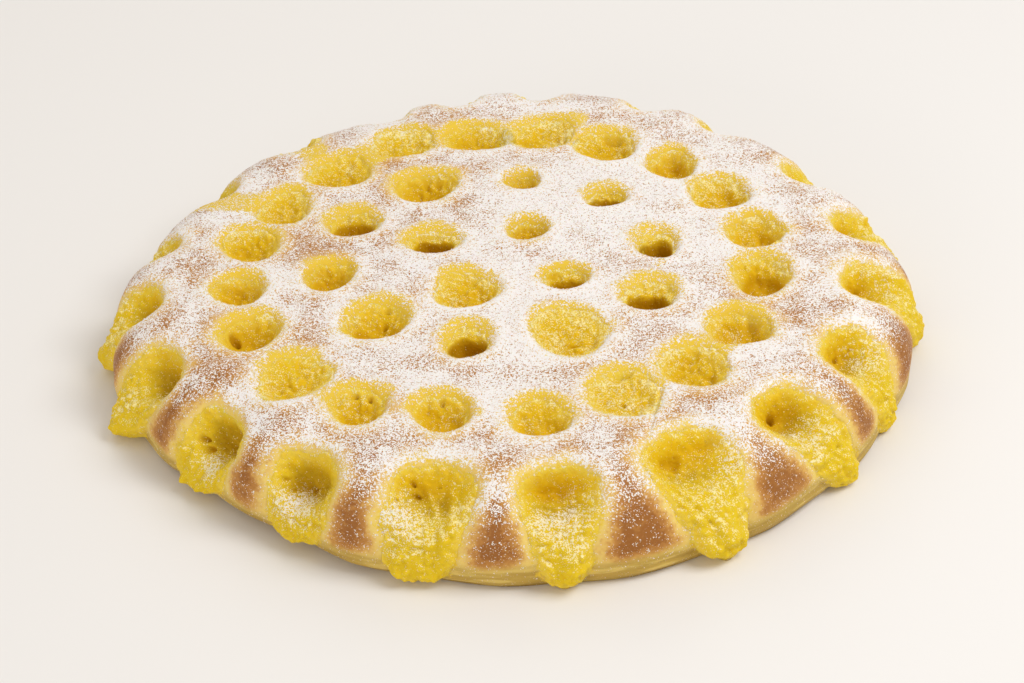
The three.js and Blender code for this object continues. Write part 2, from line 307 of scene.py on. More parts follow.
def hollow_profile(share, near=0, cave=0, fall=0):
    """How deep the hollow is at a share of its width. near is 1 at its steep front wall, and a
    cave is a hollow whose far side slopes gently before it falls away."""
    bowl = 1 - ease(share, 0.2 + 0.35 * near, 1.3 - 0.12 * near)
    slope = 1 - ease(share, 0.45, 1.25)
    return bowl + cave * (0.32 * slope + 0.68 * fall - bowl)


def marks(travel, angle, places, sharpness, spare=0):
    """The sum of the small marks at the given places, each wider by spare and the more
    flat-bottomed the greater the sharpness."""
    total = np.zeros(len(travel))
    for way, at, half_length, half_width, height in places:
        across = np.radians(turned_by(angle, at)) * np.clip(way, 1, RIM_RADIUS)
        distance = np.hypot(
            (travel - way) / (half_length + spare), across / (half_width + spare))
        total += height * np.exp(-distance ** sharpness)
    return total


def bubbles(travel, angle, spare=0):
    """How deep the burst bubbles are, each made wider by spare."""
    places = [(way, at, radius, radius, depth) for way, at, radius, depth in BUBBLES]
    return marks(travel, angle, places, 4, spare)


def presses(travel, angle):
    """How deep the marks of fingers and thumbs in the custard are."""
    thumbs = [
        (RIM_DIMPLES[number][1] + away, RIM_DIMPLES[number][0], half_length, half_width, depth)
        for number, away, half_length, half_width, depth in THUMBS]
    return marks(travel, angle, PRESSES, 3) + marks(travel, angle, thumbs, 3)


def inside(gap):
    """0 at the edge of the custard and outside it, 1 well inside."""
    return ease(-gap, 0, EDGE_WIDTH)


def unrolled(travel, angle):
    """The place on the skin laid out flat, as a complex number."""
    return travel * np.exp(1j * np.radians(angle))


def line_distance(travel, angle, way, at, end_way, end_at):
    """The distance to a straight line between two places on the unrolled skin."""
    place = unrolled(travel, angle)
    start = unrolled(way, at)
    line = unrolled(end_way, end_at) - start
    share = np.clip(np.real((place - start) / line), 0, 1)
    return np.abs(place - start - share * line)


def film_distance(travel, angle):
    """The distance to the nearest film of custard, below 0 on it."""
    return np.min([line_distance(travel, angle, *ends) - half for *ends, half in FILMS], axis=0)


def folded(travel, angle):
    """How far the folds and creases lift the surface."""
    return sum(
        height * bell(line_distance(travel, angle, *ends), half)
        for *ends, half, height in FOLDS)


ALL_TOP_DIMPLES = [dimple for ring in TOP_DIMPLES.values() for dimple in ring]


def dimpled(travel, angle):
    """The lift of the finished surface off the plain skin, the distances to the nearest edge of
    custard and of its smears, below 0 on them, and the share of painted shade in a cave's custard."""
    hollows = np.zeros(len(travel))
    bulge = np.zeros(len(travel))
    gap = np.full(len(travel), FAR_AWAY)
    painted_shade = np.zeros(len(travel))
    smear = film_distance(travel, angle)
    place = unrolled(travel, angle)
    wander = layered(np.stack([place.real, place.imag, 0 * travel], axis=1), [CAVE_WANDER])
    for dimple in ALL_TOP_DIMPLES:
        share, edge, side = in_top_dimple(dimple, travel, angle)
        cave = ease(dimple[4], *CAVE_FROM)
        near = 0.5 - 0.5 * side
        fall = cave_fall(share, near, wander)
        # Painted shade: a cave's floor, and a little past its mouth, is darkened in the custard's
        # colour.
        painted_shade = np.maximum(painted_shade, cave * cave_fall(share, near, wander, 0.04))
        hollows += (dimple[4] * hollow_profile(share, near, cave, fall)) ** 3
        smear = np.minimum(smear, edge - SMEAR_REACH - SMEAR_AT_BACK * side)
        gap = np.minimum(gap, edge + CAVE_MOUTH * cave)
    for dimple in RIM_DIMPLES:
        spill, across, hollow, edge = in_rim_dimple(dimple, travel, angle)
        hollows += (dimple[3] * hollow_profile(hollow)) ** 3
        proud = dimple[4] * ease(spill, 0.4, 0.95)
        bulge = np.maximum(bulge, proud * np.clip(1 - across ** 2, 0, 1))
        hollows += (0.6 * np.exp(-np.abs(edge) / 5) * ease(spill, 0.1, 0.4)) ** 3
        gap = np.minimum(gap, edge)
    lift = bulge - np.cbrt(hollows) + folded(travel, angle)
    return lift, gap, np.minimum(smear, gap), painted_shade


# Where more or less sugar has fallen: x, y, width of the drift, how much more.
SUGAR_DRIFTS = [
    (40, 45, 70, 0.26), (10, -60, 45, 0.14), (95, 30, 30, 0.10), (-60, 73, 24, -0.20),
    (14, 87, 15, -0.14), (-92, 22, 24, -0.12), (-105, -50, 22, -0.12), (-50, -10, 14, -0.10),
    (5, 12, 10, -0.10), (-80, -95, 20, -0.10), (75, -10, 14, -0.12), (108, 75, 20, -0.10),
    (-30, -80, 14, 0.10), (70, -85, 20, 0.08), (-20, 20, 14, 0.10),
]
# How thick the sugar lies on the whole and at the most, and how unevenly: amount, size, seed.
MEAN_SUGAR = 0.62
THICKEST_SUGAR = 0.84
SUGAR_NOISE = [(0.18, 24, 5), (0.20, 10, 6), (0.12, 4, 9)]


def sugared(points, upward):
    """How thick the icing sugar lies, from 0 to 1: thickest right of the middle, and thin where
    the side is steep."""
    drift = layered(points, SUGAR_NOISE, MEAN_SUGAR)
    for x, y, spread, more in SUGAR_DRIFTS:
        drift += more * bell(np.hypot(points[:, 0] - x, points[:, 1] - y), spread)
    settled = (0.18 + 0.82 * ease(upward, 0.35, 0.92)) * ease(points[:, 2], 3, 14)
    return np.clip(drift * settled, 0, THICKEST_SUGAR)


def new_object(name, data):
    """An object in the scene made from a mesh, a light or a camera."""
    thing = bpy.data.objects.new(name, data)
    bpy.context.scene.collection.objects.link(thing)
    return thing


def mesh_object(name, points, faces, **attributes):
    """A smooth object from points in millimetres, with a number for each point per attribute."""
    mesh = bpy.data.meshes.new(name)
    placed = (points + [*LOAF_MIDDLE, 0]) * MILLIMETRE
    mesh.from_pydata(placed.tolist(), [], faces)
    for key, values in attributes.items():
        layer = mesh.attributes.new(key, "FLOAT", "POINT")
        layer.data.foreach_set("value", np.asarray(values, dtype=np.float32))
    mesh.shade_smooth()
    return new_object(name, mesh)


def upward_share(points, shape):
    """The upward part of the surface's direction, on a grid of points."""
    grid = points.reshape(*shape, 3)
    along = np.gradient(grid, axis=0)
    across = np.gradient(grid, axis=1)
    direction = np.cross(along, across)
    length = np.linalg.norm(direction, axis=2) + 1e-9
    return np.abs(direction[:, :, 2] / length).reshape(-1)


def flat_grid(rows, columns):
    """Both coordinates of every place on a grid, each in one row."""
    return (part.reshape(-1) for part in np.meshgrid(rows, columns, indexing="ij"))


def grid_quads(index):
    """The faces between the points of a grid, whose numbers are given."""
    return np.stack([
        index[:-1, :-1], index[1:, :-1], index[1:, 1:], index[:-1, 1:]], axis=2).reshape(-1, 4)


GRID_STEPS = 308
# How far the edge of the custard wanders from its plain line, and how the crust swells between
# the dimples: amount, size and seed of the noise.
SEAM_NOISE = [(1.4, 9, 8), (1.0, 4.5, 1), (0.9, 2.2, 2)]
SWELL_NOISE = [(0.5, 24, 3), (0.2, 8, 4)]
# The long low folds of the foot: height, and the size and seed of noise drawn out along the side.
FOOT_FOLDS = (0.5, 2.0, 7)
DRAWN_OUT = (0.12, 0.12, 1)


def dough_mesh():
    """The loaf, on a square grid bent into a disc, whose cells stay about even all over."""
    line = np.linspace(-1, 1, GRID_STEPS + 1)
    u, v = flat_grid(line, line)
    wide = np.abs(u) >= np.abs(v)
    share = np.where(wide, np.abs(u), np.abs(v))
    ratio = np.where(wide, v, u) / np.maximum(share, 1e-9)
    eighth = ratio * 45
    angle = np.where(
        wide, np.where(u >= 0, eighth, 180 - eighth), np.where(v >= 0, 90 - eighth, 270 + eighth))
    angle = angle % 360
    travel = share * skin_length(angle)

    lift, gap, smear, _ = dimpled(travel, angle)
    plain = on_skin(travel, angle, lift)
    uneven = layered(plain, SEAM_NOISE)
    gap = gap + uneven
    smear = smear + uneven
    under_custard = LINING_THICKNESS + BUBBLE_ROOM * bubbles(travel, angle, BUBBLE_ROOM)
    under_custard += presses(travel, angle)
    under_custard = under_custard * inside(gap)
    swell = layered(plain, SWELL_NOISE, 0.45 * bell(gap - 4, 3))
    height = plain[:, 2]
    low_fold = ease(height, 11, 6) * ease(height, 0, 2)
    folds = layered(plain * DRAWN_OUT, [FOOT_FOLDS])
    lift = lift - under_custard + swell * ease(height, 4, 14) + folds * low_fold
    points = on_skin(travel, angle, lift)
    shape = (GRID_STEPS + 1, GRID_STEPS + 1)
    upward = upward_share(points, shape)
    side = down_side(travel, angle, 0, 40)
    baked = 0.80 * ease(gap, -1.5, 12 - 2 * side) + 0.40 * ease(gap, 4, 12)

    index = np.arange(len(points)).reshape(shape)
    faces = grid_quads(index).tolist()
    border = [*index[:-1, 0], *index[-1, :-1], *index[:0:-1, -1], *index[0, :0:-1]]
    count = len(border)
    inner_angle = angle[border]
    inner_radius = rim_radius(inner_angle) - UNDERSIDE_STEP
    inner = np.stack([*x_and_y(inner_radius, inner_angle), np.zeros(count)], axis=1)
    points = np.concatenate([points, inner, np.zeros((1, 3))])
    first = len(upward)
    for step in range(count):
        after = (step + 1) % count
        faces.append((border[after], border[step], first + step, first + after))
        faces.append((first + after, first + step, first + count))
    bare = np.zeros(count + 1)
    return mesh_object(
        "dough_loaf", points, faces,
        gap=np.concatenate([gap, bare + 20]),
        smear=np.concatenate([smear, bare + 20]),
        baked=np.concatenate([baked, bare]),
        side=np.concatenate([side, bare + 1]),
        sugar=np.concatenate([sugared(plain, upward), bare]))


class Link:
    """An output in a material. Arithmetic on it adds Math nodes, and node() any other kind."""

    def __init__(self, tree, socket=None):
        self.tree = tree
        self.socket = socket

    def node(self, kind, settings=None, sockets=None, output=0):
        node = self.tree.nodes.new(kind)
        for name, value in (settings or {}).items():
            setattr(node, name, value)
        for name, value in (sockets or {}).items():
            if isinstance(value, Link):
                self.tree.links.new(value.socket, node.inputs[name])
            else:
                node.inputs[name].default_value = value
        return Link(self.tree, node.outputs[output])

    def math(self, operation, *values):
        return self.node("ShaderNodeMath", {"operation": operation}, dict(enumerate(values)))

    def __add__(self, other):
        return self.math("ADD", self, other)

    def __radd__(self, other):
        return self.math("ADD", other, self)

    def __sub__(self, other):
        return self.math("SUBTRACT", self, other)

    def __rsub__(self, other):
        return self.math("SUBTRACT", other, self)

    def __mul__(self, other):
        return self.math("MULTIPLY", self, other)

    def __rmul__(self, other):
        return self.math("MULTIPLY", other, self)

    def at_most(self, limit):
        return self.math("MINIMUM", self, limit)

    def ramp(self, low, high):
        """0 below low, 1 above high, and smooth between them."""
        return self.node(
            "ShaderNodeMapRange", {"interpolation_type": "SMOOTHSTEP"},
            {"Value": self, "From Min": low, "From Max": high})

    def mix(self, start, end):
        """A colour from start, where this is 0, to end, where it is 1."""
        colours = {0: self}
        for at, colour in ((6, start), (7, end)):
            colours[at] = colour if isinstance(colour, Link) else (*colour, 1)
        return self.node("ShaderNodeMix", {"data_type": "RGBA"}, colours, output=2)


def new_material(name, **constants):
    """A material, its tree as a Link, and its Principled shader with the constants set on it."""
    material = bpy.data.materials.new(name)
    material.use_nodes = True
    shader = material.node_tree.nodes["Principled BSDF"]
    for socket, value in constants.items():
        shader.inputs[socket.replace("_", " ")].default_value = value
    return material, Link(material.node_tree), shader


def attribute(tree, name):
    """The value that a mesh carries for each of its points under this name."""
    return tree.node("ShaderNodeAttribute", {"attribute_name": name}, output=2)


def lumps(tree, scale, detail=2.0, stretch=(1, 1, 1)):
    """Noise from 0 to 1 on the object's own coordinates, with scale lumps to the metre."""
    place = tree.node("ShaderNodeTexCoord", output=3)
    place = tree.node("ShaderNodeMapping", None, {"Vector": place, "Scale": stretch})
    return tree.node(
        "ShaderNodeTexNoise", None, {"Vector": place, "Scale": scale, "Detail": detail})


SUGAR_WHITE = (0.835, 0.795, 0.765)
GRAIN_SCALES = (1850, 850)


def speckle(tree, density):
    """The grains of icing sugar, from 0 on bare surface to 1 on a grain."""
    fine, coarse = (lumps(tree, scale, 1.0) for scale in GRAIN_SCALES)
    grains = 0.65 * fine + 0.35 * coarse
    bare = 0.66 - 0.30 * density
    return (grains - bare).ramp(-0.020, 0.024)


def connect(value, shader, socket):
    """Feed a value to a socket of a shader."""
    value.tree.links.new(value.socket, shader.inputs[socket])


def bump(height, strength, distance):
    """A shading normal from the height of the fine relief."""
    return height.node(
        "ShaderNodeBump", None, {"Height": height, "Strength": strength, "Distance": distance})


CRUST_BROWN = (0.445, 0.194, 0.041)
CRUST_DARK = (0.305, 0.112, 0.020)
CRUST_GOLD = (0.650, 0.365, 0.090)
CRUST_CREAM = (0.780, 0.580, 0.160)
# The foot's cream is darkened with painted shadow, and its crease colour is painted shade.
FOOT_CREAM_IN_SHADOW = (0.470, 0.305, 0.058)
FOOT_CREASE_SHADE = (0.330, 0.190, 0.030)
CUSTARD_SMEAR = (0.740, 0.500, 0.035)
THIN_SUGAR = (0.660, 0.430, 0.180)


def crust_material():
    """Crust baked in patches from cream to dark brown, with its pale foot darkened by painted
    shadow, painted shade and highlight along the foot's folds, smears and dust of sugar.
    """
    material, tree, shader = new_material(
        "crust", IOR=1.45, Specular_IOR_Level=0.3, Subsurface_Weight=0.1,
        Subsurface_Radius=(1.0, 0.5, 0.2), Subsurface_Scale=0.002)
    place = tree.node("ShaderNodeTexCoord", output=3)
    height = tree.node("ShaderNodeSeparateXYZ", None, {0: place}, output=2)
    mottle = lumps(tree, 800)
    wide = lumps(tree, 60, 3.0) - 0.5
    cloudy = lumps(tree, 230, 3.0) - 0.5
    fine = mottle - 0.5

    # The browning stops short of the foot, and is patchy at three sizes.
    foot = (height + 0.006 * wide).ramp(0.0060, 0.0180)
    baked = (attribute(tree, "baked") + 0.6 * wide + 0.4 * cloudy + 0.35 * fine) * foot
    colour = baked.ramp(0.0, 0.5).mix(CRUST_CREAM, CRUST_GOLD)
    browned = baked * (0.84 + 0.31 * attribute(tree, "side")) + 0.5 * cloudy + 0.5 * fine
    colour = browned.ramp(0.30, 0.95).mix(colour, CRUST_BROWN)
    colour = browned.ramp(0.90, 1.40).mix(colour, CRUST_DARK)

    # The pale unbaked foot, its cream darkened with painted shadow low down by the table, with long
    # folds that lie along it.
    low = (height + 0.005 * wide).ramp(0.0135, 0.007)
    colour = low.mix(colour, FOOT_CREAM_IN_SHADOW)
    folds = lumps(tree, 150, 3.0, (0.3, 0.3, 2.2))
    # Painted shade in the creases of the folds, and a painted highlight in cream on their crests.
    colour = (0.45 * low * folds.ramp(0.46, 0.34)).mix(colour, FOOT_CREASE_SHADE)
    colour = (0.6 * low * folds.ramp(0.50, 0.64)).mix(colour, CRUST_CREAM)

    # Smears and films of custard, and the dust of sugar over everything.
    smear = (attribute(tree, "smear") + 9.0 * fine + 6.0 * wide).ramp(1.5, -1.5)
    colour = smear.mix(colour, CUSTARD_SMEAR)
    film = (attribute(tree, "smear") + 6.0 * fine).ramp(-0.5, -4.0)
    sugar = speckle(tree, attribute(tree, "sugar") * (1 - 0.42 * smear - 0.25 * film))
    colour = sugar.ramp(0.0, 0.4).mix(colour, THIN_SUGAR)
    colour = sugar.ramp(0.25, 0.85).mix(colour, SUGAR_WHITE)

    connect(colour, shader, "Base Color")
    connect(0.5 + 0.2 * mottle + 0.25 * sugar, shader, "Roughness")
    grain = lumps(tree, 1900)
    relief = 0.5 * grain + 1.2 * sugar + 4.0 * folds * low + 0.8 * mottle
    connect(bump(relief, 0.5, 0.0004), shader, "Normal")
    return material


dough = dough_mesh()
dough.data.materials.append(crust_material())
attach(dough, "root")
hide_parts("dough")


# The custard in the dimples on top: a spoonful of thick yellow pastry cream pressed into each
# hollow, where it bakes to a soft lining with a lumpy skin and small burst bubbles.

# Clots of custard that stand out: way along the skin, angle, half length, half width, height.
CLOTS = [
    (181, 272.6, 4, 3.2, 2.5), (178, 276.2, 6.5, 4.6, 4), (183, 294.2, 5, 3.6, 2.5),
    (178, 297.0, 5, 5, 3), (171, 296.2, 4, 5, 1.5), (184, 299.6, 3.5, 3, 2),
    (184, 253.5, 4, 5, 1.5), (184, 257.5, 3.5, 4, 1.5), (160, 259.5, 14, 3.5, 2),
    (64.5, 9, 2.5, 4, 2), (183, 321, 4, 4, 1.5), (181, 198, 5, 5, 1.5), (184, 235, 4, 6, 1.5),
    (52, 331, 2.5, 3, 1.5), (104, 320, 6, 5, 1.5), (72, 210, 3, 3, 1.5), (24, 222, 6, 1.2, 1.2),
]
# Where sugar has settled thick on the custard: way, angle, half length, half width, how much.
SETTLED = [
    (161, 252.3, 11, 10, 0.32), (161, 275, 10, 13, 0.26), (165, 235.5, 8, 10, 0.34),
    (150, 201, 7, 7, 0.18), (154, 300, 6, 9, 0.16), (150, 288, 5, 6, 0.16), (158, 315, 8, 9, 0.22),
    (167, 219, 7, 7, 0.22), (152, 336, 7, 7, 0.18), (146, 278, 3, 8, 0.16), (152, 356, 7, 6, 0.16),
    (113, 236, 5, 5, 0.16), (109, 254, 4, 4, 0.12), (106, 292, 8, 9, 0.10), (103, 329, 8, 8, 0.10),
]
CUSTARD_YELLOW = (0.720, 0.445, 0.006)
CUSTARD_BRIGHT = (0.730, 0.510, 0.018)
# Ochre, amber and olive are painted shade for the pits and the deep floors.
PIT_SHADE_OCHRE = (0.500, 0.255, 0.003)
SHADED_CUSTARD_AMBER = (0.620, 0.345, 0.002)
SHADED_CUSTARD_OLIVE = (0.430, 0.255, 0.008)
CUSTARD_PALE = (0.790, 0.565, 0.070)
CUSTARD_FLECK = (0.900, 0.770, 0.330)
# How far the custard reaches past the brim of its hollow, as a share, and past the sides of a
# tongue, and how far this skirt drops below the crust.
SKIRT = 1.20
TONGUE_SKIRT = 2.8
SKIRT_DROP = 0.9
# The puffs of the custard's skin: amount, size and seed of the noise, and the puffs' mean height.
PUFFS = [(1.6, 6.0, 21), (1.3, 3.0, 22)]
MEAN_PUFF = 0.8
# The least thickness of the custard, how far its underside sinks into the dough, and the lowest
# that its surface and its underside come.
LEAST_THICKNESS = 0.4
LINING_OVERLAP = 1.2
SURFACE_FLOOR = 0.35
UNDERSIDE_FLOOR = 0.3
# The depths that count as fully deep in the material's painted shade, as hollows, as holes and as
# finger marks.
FULLY_DEEP = 16
DEEP_HOLE = 5
DEEP_PRESS = 14
# The points on the grid of a custard: round and outwards in each ring, down and across a tongue.
TOP_SIDES = {"a": 128, "b": 128, "c": 96}
TOP_RINGS = {"a": 40, "b": 40, "c": 30}
RIM_ROWS = 84
RIM_COLUMNS = 49


def custard_relief(points, gap):
    """Puffy lumps with sharp creases between them, flatter towards the edge of the custard, and
    curds that stand out low on the side."""
    puffs = sum(amount * np.abs(noise(points, size, seed)) for amount, size, seed in PUFFS)
    curds = ease(32 - points[:, 2], 0, 18) * (np.abs(noise(points, 2.6, 24)) - 0.25)
    rough = puffs - MEAN_PUFF + 0.55 * noise(points, 1.6, 23) + 1.3 * curds
    return rough * ease(-gap, -1.0, 2.0)


def custard_lift(travel, angle):
    """The lift of the custard's surface off the skin, the distance to its edge, the places without
    its relief, and the painted shade of its caves, burst bubbles and finger marks."""
    lift, gap, _, painted_shade = dimpled(travel, angle)
    plain = on_skin(travel, angle, lift)
    gap = gap + layered(plain, SEAM_NOISE)
    skirt = SKIRT_DROP * ease(gap, -0.5, 1.5)
    holes = bubbles(travel, angle)
    pressed = presses(travel, angle)
    clots = marks(travel, angle, CLOTS, 3)
    relief = custard_relief(plain, gap) + (clots - holes - pressed) * inside(gap)
    # Painted shade in the pits: caves, burst bubbles and finger marks darken with their depth.
    painted_dark = painted_shade + holes / DEEP_HOLE + pressed / DEEP_PRESS
    return lift + relief - skirt, gap, plain, painted_dark


def shell(travel, angle, shape, closed):
    """Points and faces of one closed piece of custard over a grid of places, and its values.
    The grid of a closed shell runs round a dimple, that of an open one down a tongue."""
    lift, gap, plain, painted_pits = custard_lift(travel, angle)
    top = on_skin(travel, angle, lift)
    top[:, 2] = np.maximum(top[:, 2], SURFACE_FLOOR)
    rows, columns = shape
    index = np.arange(rows * columns).reshape(shape)
    if closed:
        under_of = index[[-1, 3 * rows // 4, rows // 2, rows // 4, 1]]
        index = np.concatenate([index, index[:, :1]], axis=1)
    else:
        under_of = index[:, ::columns // 8]
    faces = grid_quads(index).tolist()

    # The underside follows fewer of the places, and is laid on the hollow of the dough.
    source = under_of.reshape(-1)
    sink = LEAST_THICKNESS + (LINING_THICKNESS + LINING_OVERLAP) * inside(gap[source])
    below = on_skin(travel[source], angle[source], lift[source] - sink)
    below[:, 2] = np.maximum(below[:, 2], UNDERSIDE_FLOOR)
    under = rows * columns + np.arange(len(source)).reshape(under_of.shape)
    if closed:
        under = np.concatenate([under, under[:, :1]], axis=1)
        strips = np.concatenate([index[-1:], under])
        faces.append(index[0, :-1].tolist())
        faces.append(under[-1, -2::-1].tolist())
    else:
        strips = np.concatenate([index[:, :1], under, index[:, -1:]], axis=1).T
        faces.append([*index[0], *under[0, ::-1]])
        faces.append([*index[-1], *under[-1, ::-1]][::-1])
    faces += grid_quads(strips).tolist()
    side = down_side(travel, angle, 5, 45)
    # The depth and the pits' painted shade darken the custard there and thin its sugar.
    values = {
        "gap": gap, "depth": np.clip(-lift / FULLY_DEEP, 0, 1), "pit_shade": np.clip(painted_pits, 0, 1),
        "side": side, "sugar": sugared(plain, upward_share(top, shape)),
        "settled": np.clip(marks(travel, angle, SETTLED, 2), 0, 1)}
    values = {name: np.concatenate([part, part[source]]) for name, part in values.items()}
    return np.concatenate([top, below]), faces, values


def top_custard(dimple, ring):
    """The custard of a dimple on top, on a grid of rings about its middle."""
    distance, at, width_x, width_y, _ = dimple
    x, y = x_and_y(distance, at)
    share, turn = flat_grid(
        np.linspace(0.004, 1.0, TOP_RINGS[ring]) ** 0.9 * SKIRT,
        np.linspace(0, 2 * np.pi, TOP_SIDES[ring], endpoint=False))
    uneven = brim_uneven(dimple, turn)
    px = x + share * uneven * width_x / 2 * np.cos(turn)
    py = y + share * uneven * width_y / 2 * np.sin(turn) - LEAN * (1 - np.clip(share, 0, 1))
    grid = (TOP_RINGS[ring], TOP_SIDES[ring])
    return shell(np.hypot(px, py), np.degrees(np.arctan2(py, px)) % 360, grid, True)


def rim_custard(dimple):
    """The custard of a rim dimple and its tongue, on a grid of rows that go down the side."""
    at, distance, width, _, _, end_angle, _ = dimple
    inner = INNER_SHARE * width
    way, side = flat_grid(np.linspace(0, 1, RIM_ROWS), np.linspace(-1, 1, RIM_COLUMNS))
    length = skin_length(np.full(len(way), float(end_angle))) - distance
    reach = SKIRT * inner
    along = way * (length + reach) - reach
    spill = np.clip(along / length, 0, 1)
    half = tongue_half(dimple, spill, along - length)
    # The shell starts narrow in the hollow's back wall and widens like the end of an ellipse.
    half = half * np.sqrt(np.clip(1 - (np.minimum(along, 0) / (reach + 0.01)) ** 2, 0.0004, 1))
    across = side * (half + TONGUE_SKIRT)
    angle = at + turned_by(end_angle, at) * spill + np.degrees(
        across / np.clip(distance + along, 1, RIM_RADIUS))
    stretch = (skin_length(angle) - distance) / length
    travel = distance + np.where(along > 0, along * stretch, along)
    return shell(travel, angle, (RIM_ROWS, RIM_COLUMNS), False)


def joined(shells):
    """The points, faces and values of several pieces of custard in one."""
    points, faces, values = [], [], {}
    count = 0
    for some, some_faces, some_values in shells:
        points.append(some)
        faces += [tuple(corner + count for corner in face) for face in some_faces]
        count += len(some)
        for key, numbers in some_values.items():
            values.setdefault(key, []).append(numbers)
    return np.concatenate(points), faces, {
        key: np.concatenate(parts) for key, parts in values.items()}


def custard_piece(name, shells, nodes):
    """One piece made of several custards, in place of the CAD solids with the given names."""
    points, faces, values = joined(shells)
    piece = mesh_object(name, points, faces, **values)
    piece.data.materials.append(custard)
    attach(piece, "root")
    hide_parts(*nodes)


def custard_material():
    """Soft yellow custard with painted shade in its hollows, amber and olive, and ochre in its
    pits, pale at its edge, flecked with sugar.
    """
    material, tree, shader = new_material(
        "custard", IOR=1.42, Specular_IOR_Level=0.10, Subsurface_Weight=0.25,
        Subsurface_Radius=(1.0, 0.75, 0.1), Subsurface_Scale=0.002)
    gap = attribute(tree, "gap")
    depth = attribute(tree, "depth")
    clots = lumps(tree, 260, 3.0)
    grain = lumps(tree, 1000)
    side = attribute(tree, "side")
    bright = clots + 0.6 * (grain - 0.5) + 0.35 * side
    colour = bright.ramp(0.35, 0.85).mix(CUSTARD_YELLOW, CUSTARD_BRIGHT)
    pale = (gap + 3 * (grain - 0.5) + 5 * (clots - 0.5)).ramp(-5.0, 0.8)
    colour = (0.85 * pale).mix(colour, CUSTARD_PALE)

    # Painted shade: the deep floors are darkened to amber on top and olive at the rim, and the
    # caves, holes and finger marks to ochre.
    painted_shade = side.ramp(0.2, 0.6).mix(SHADED_CUSTARD_AMBER, SHADED_CUSTARD_OLIVE)
    colour = (0.75 * (depth + 0.3 * (clots - 0.5)).ramp(0.15, 0.6)).mix(colour, painted_shade)
    pit_shade = (attribute(tree, "pit_shade") + 0.3 * (clots - 0.5)).ramp(0.05, 0.85)
    colour = pit_shade.mix(colour, PIT_SHADE_OCHRE)

    # The sugar lies in drifts, white near the edge and where it is thick, else damp and cream.
    near_edge = (gap + 3 * (grain - 0.5)).ramp(-2.0, 1.5)
    drifts = lumps(tree, 130).ramp(0.40, 0.70)
    settled = attribute(tree, "settled")
    lying = attribute(tree, "sugar") * (0.66 + 0.30 * drifts + 0.10 * side - 1.05 * depth)
    lying = (lying + 0.05 * side + settled * (0.8 + 0.4 * drifts)).at_most(0.6)
    sugar = speckle(tree, lying * (1 - 0.8 * pit_shade))
    dry = (near_edge + 0.15 * drifts + 2.5 * settled).at_most(1)
    colour = (0.9 * sugar).mix(colour, dry.mix(CUSTARD_FLECK, SUGAR_WHITE))

    connect(colour, shader, "Base Color")
    connect(0.42 + 0.25 * grain + 0.2 * sugar, shader, "Roughness")
    relief = 1.5 * clots + 1.0 * grain + 0.8 * sugar
    connect(bump(relief, 0.6, 0.0006), shader, "Normal")
    return material


custard = custard_material()
top_shells = {
    ring: [top_custard(dimple, ring) for dimple in dimples]
    for ring, dimples in TOP_DIMPLES.items()}
for ring, shells in top_shells.items():
    custard_piece(
        f"custard_ring_{ring}", shells,
        [f"custard_{ring}{number + 1}" for number in range(len(shells))])


# The custard round the rim: the same cream in the outermost hollows, which spills over the
# shoulder and down the side in thick tongues that end on the table.

rim_shells = [rim_custard(dimple) for dimple in RIM_DIMPLES]
custard_piece(
    "custard_tongues", rim_shells,
    [f"custard_d{number + 1}" for number in range(len(RIM_DIMPLES))])


# The icing sugar: the coarser grains of what is sieved over the loaf, white on the dry crust and
# damp and cream on the custard. Geometry Nodes scatter them where the sugar lies thick.

# Grains lie only where the surface faces at least so far up.
LEAST_UPWARD = 0.15
FULL_TURN = 6.28
LEAST_GRAIN = (0.5, 0.5, 0.4)
LARGEST_GRAIN = (1.6, 1.6, 1.1)


